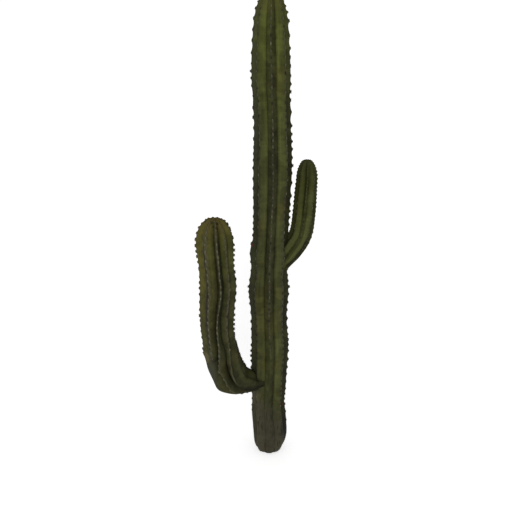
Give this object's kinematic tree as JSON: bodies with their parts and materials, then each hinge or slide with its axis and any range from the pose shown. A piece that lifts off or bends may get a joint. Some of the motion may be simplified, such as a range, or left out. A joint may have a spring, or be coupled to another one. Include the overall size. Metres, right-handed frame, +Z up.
{
  "type": "saguaro cactus",
  "caption": "Tall ribbed desert cactus: a thick upright trunk with side arms that leave it at an elbow and turn up; rooted in the ground at the flat cut under its trunk.",
  "frame": {"origin": "middle of the flat cut under the trunk, at ground level", "axes": "+Z up the trunk; the large arm leaves the trunk towards -X and a little towards -Y, the small arm towards +X; -Y is the front"},
  "size_m": [1.3214, 0.7607, 5.5],
  "materials": {
    "trunk_skin": "waxy green skin over ribbed flesh, grey-brown and corky at the foot",
    "large_arm_skin": "waxy yellowish olive skin",
    "small_arm_skin": "waxy olive green skin",
    "areole_felt": "short grey-tan felt",
    "spines": "dry, dull grey-brown"
  },
  "bodies": {
    "root": {"trunk": "trunk_skin", "large_arm_elbow": "large_arm_skin", "large_arm_upright": "large_arm_skin", "small_arm_elbow": "small_arm_skin", "small_arm_upright": "small_arm_skin"}
  },
  "joints": []
}
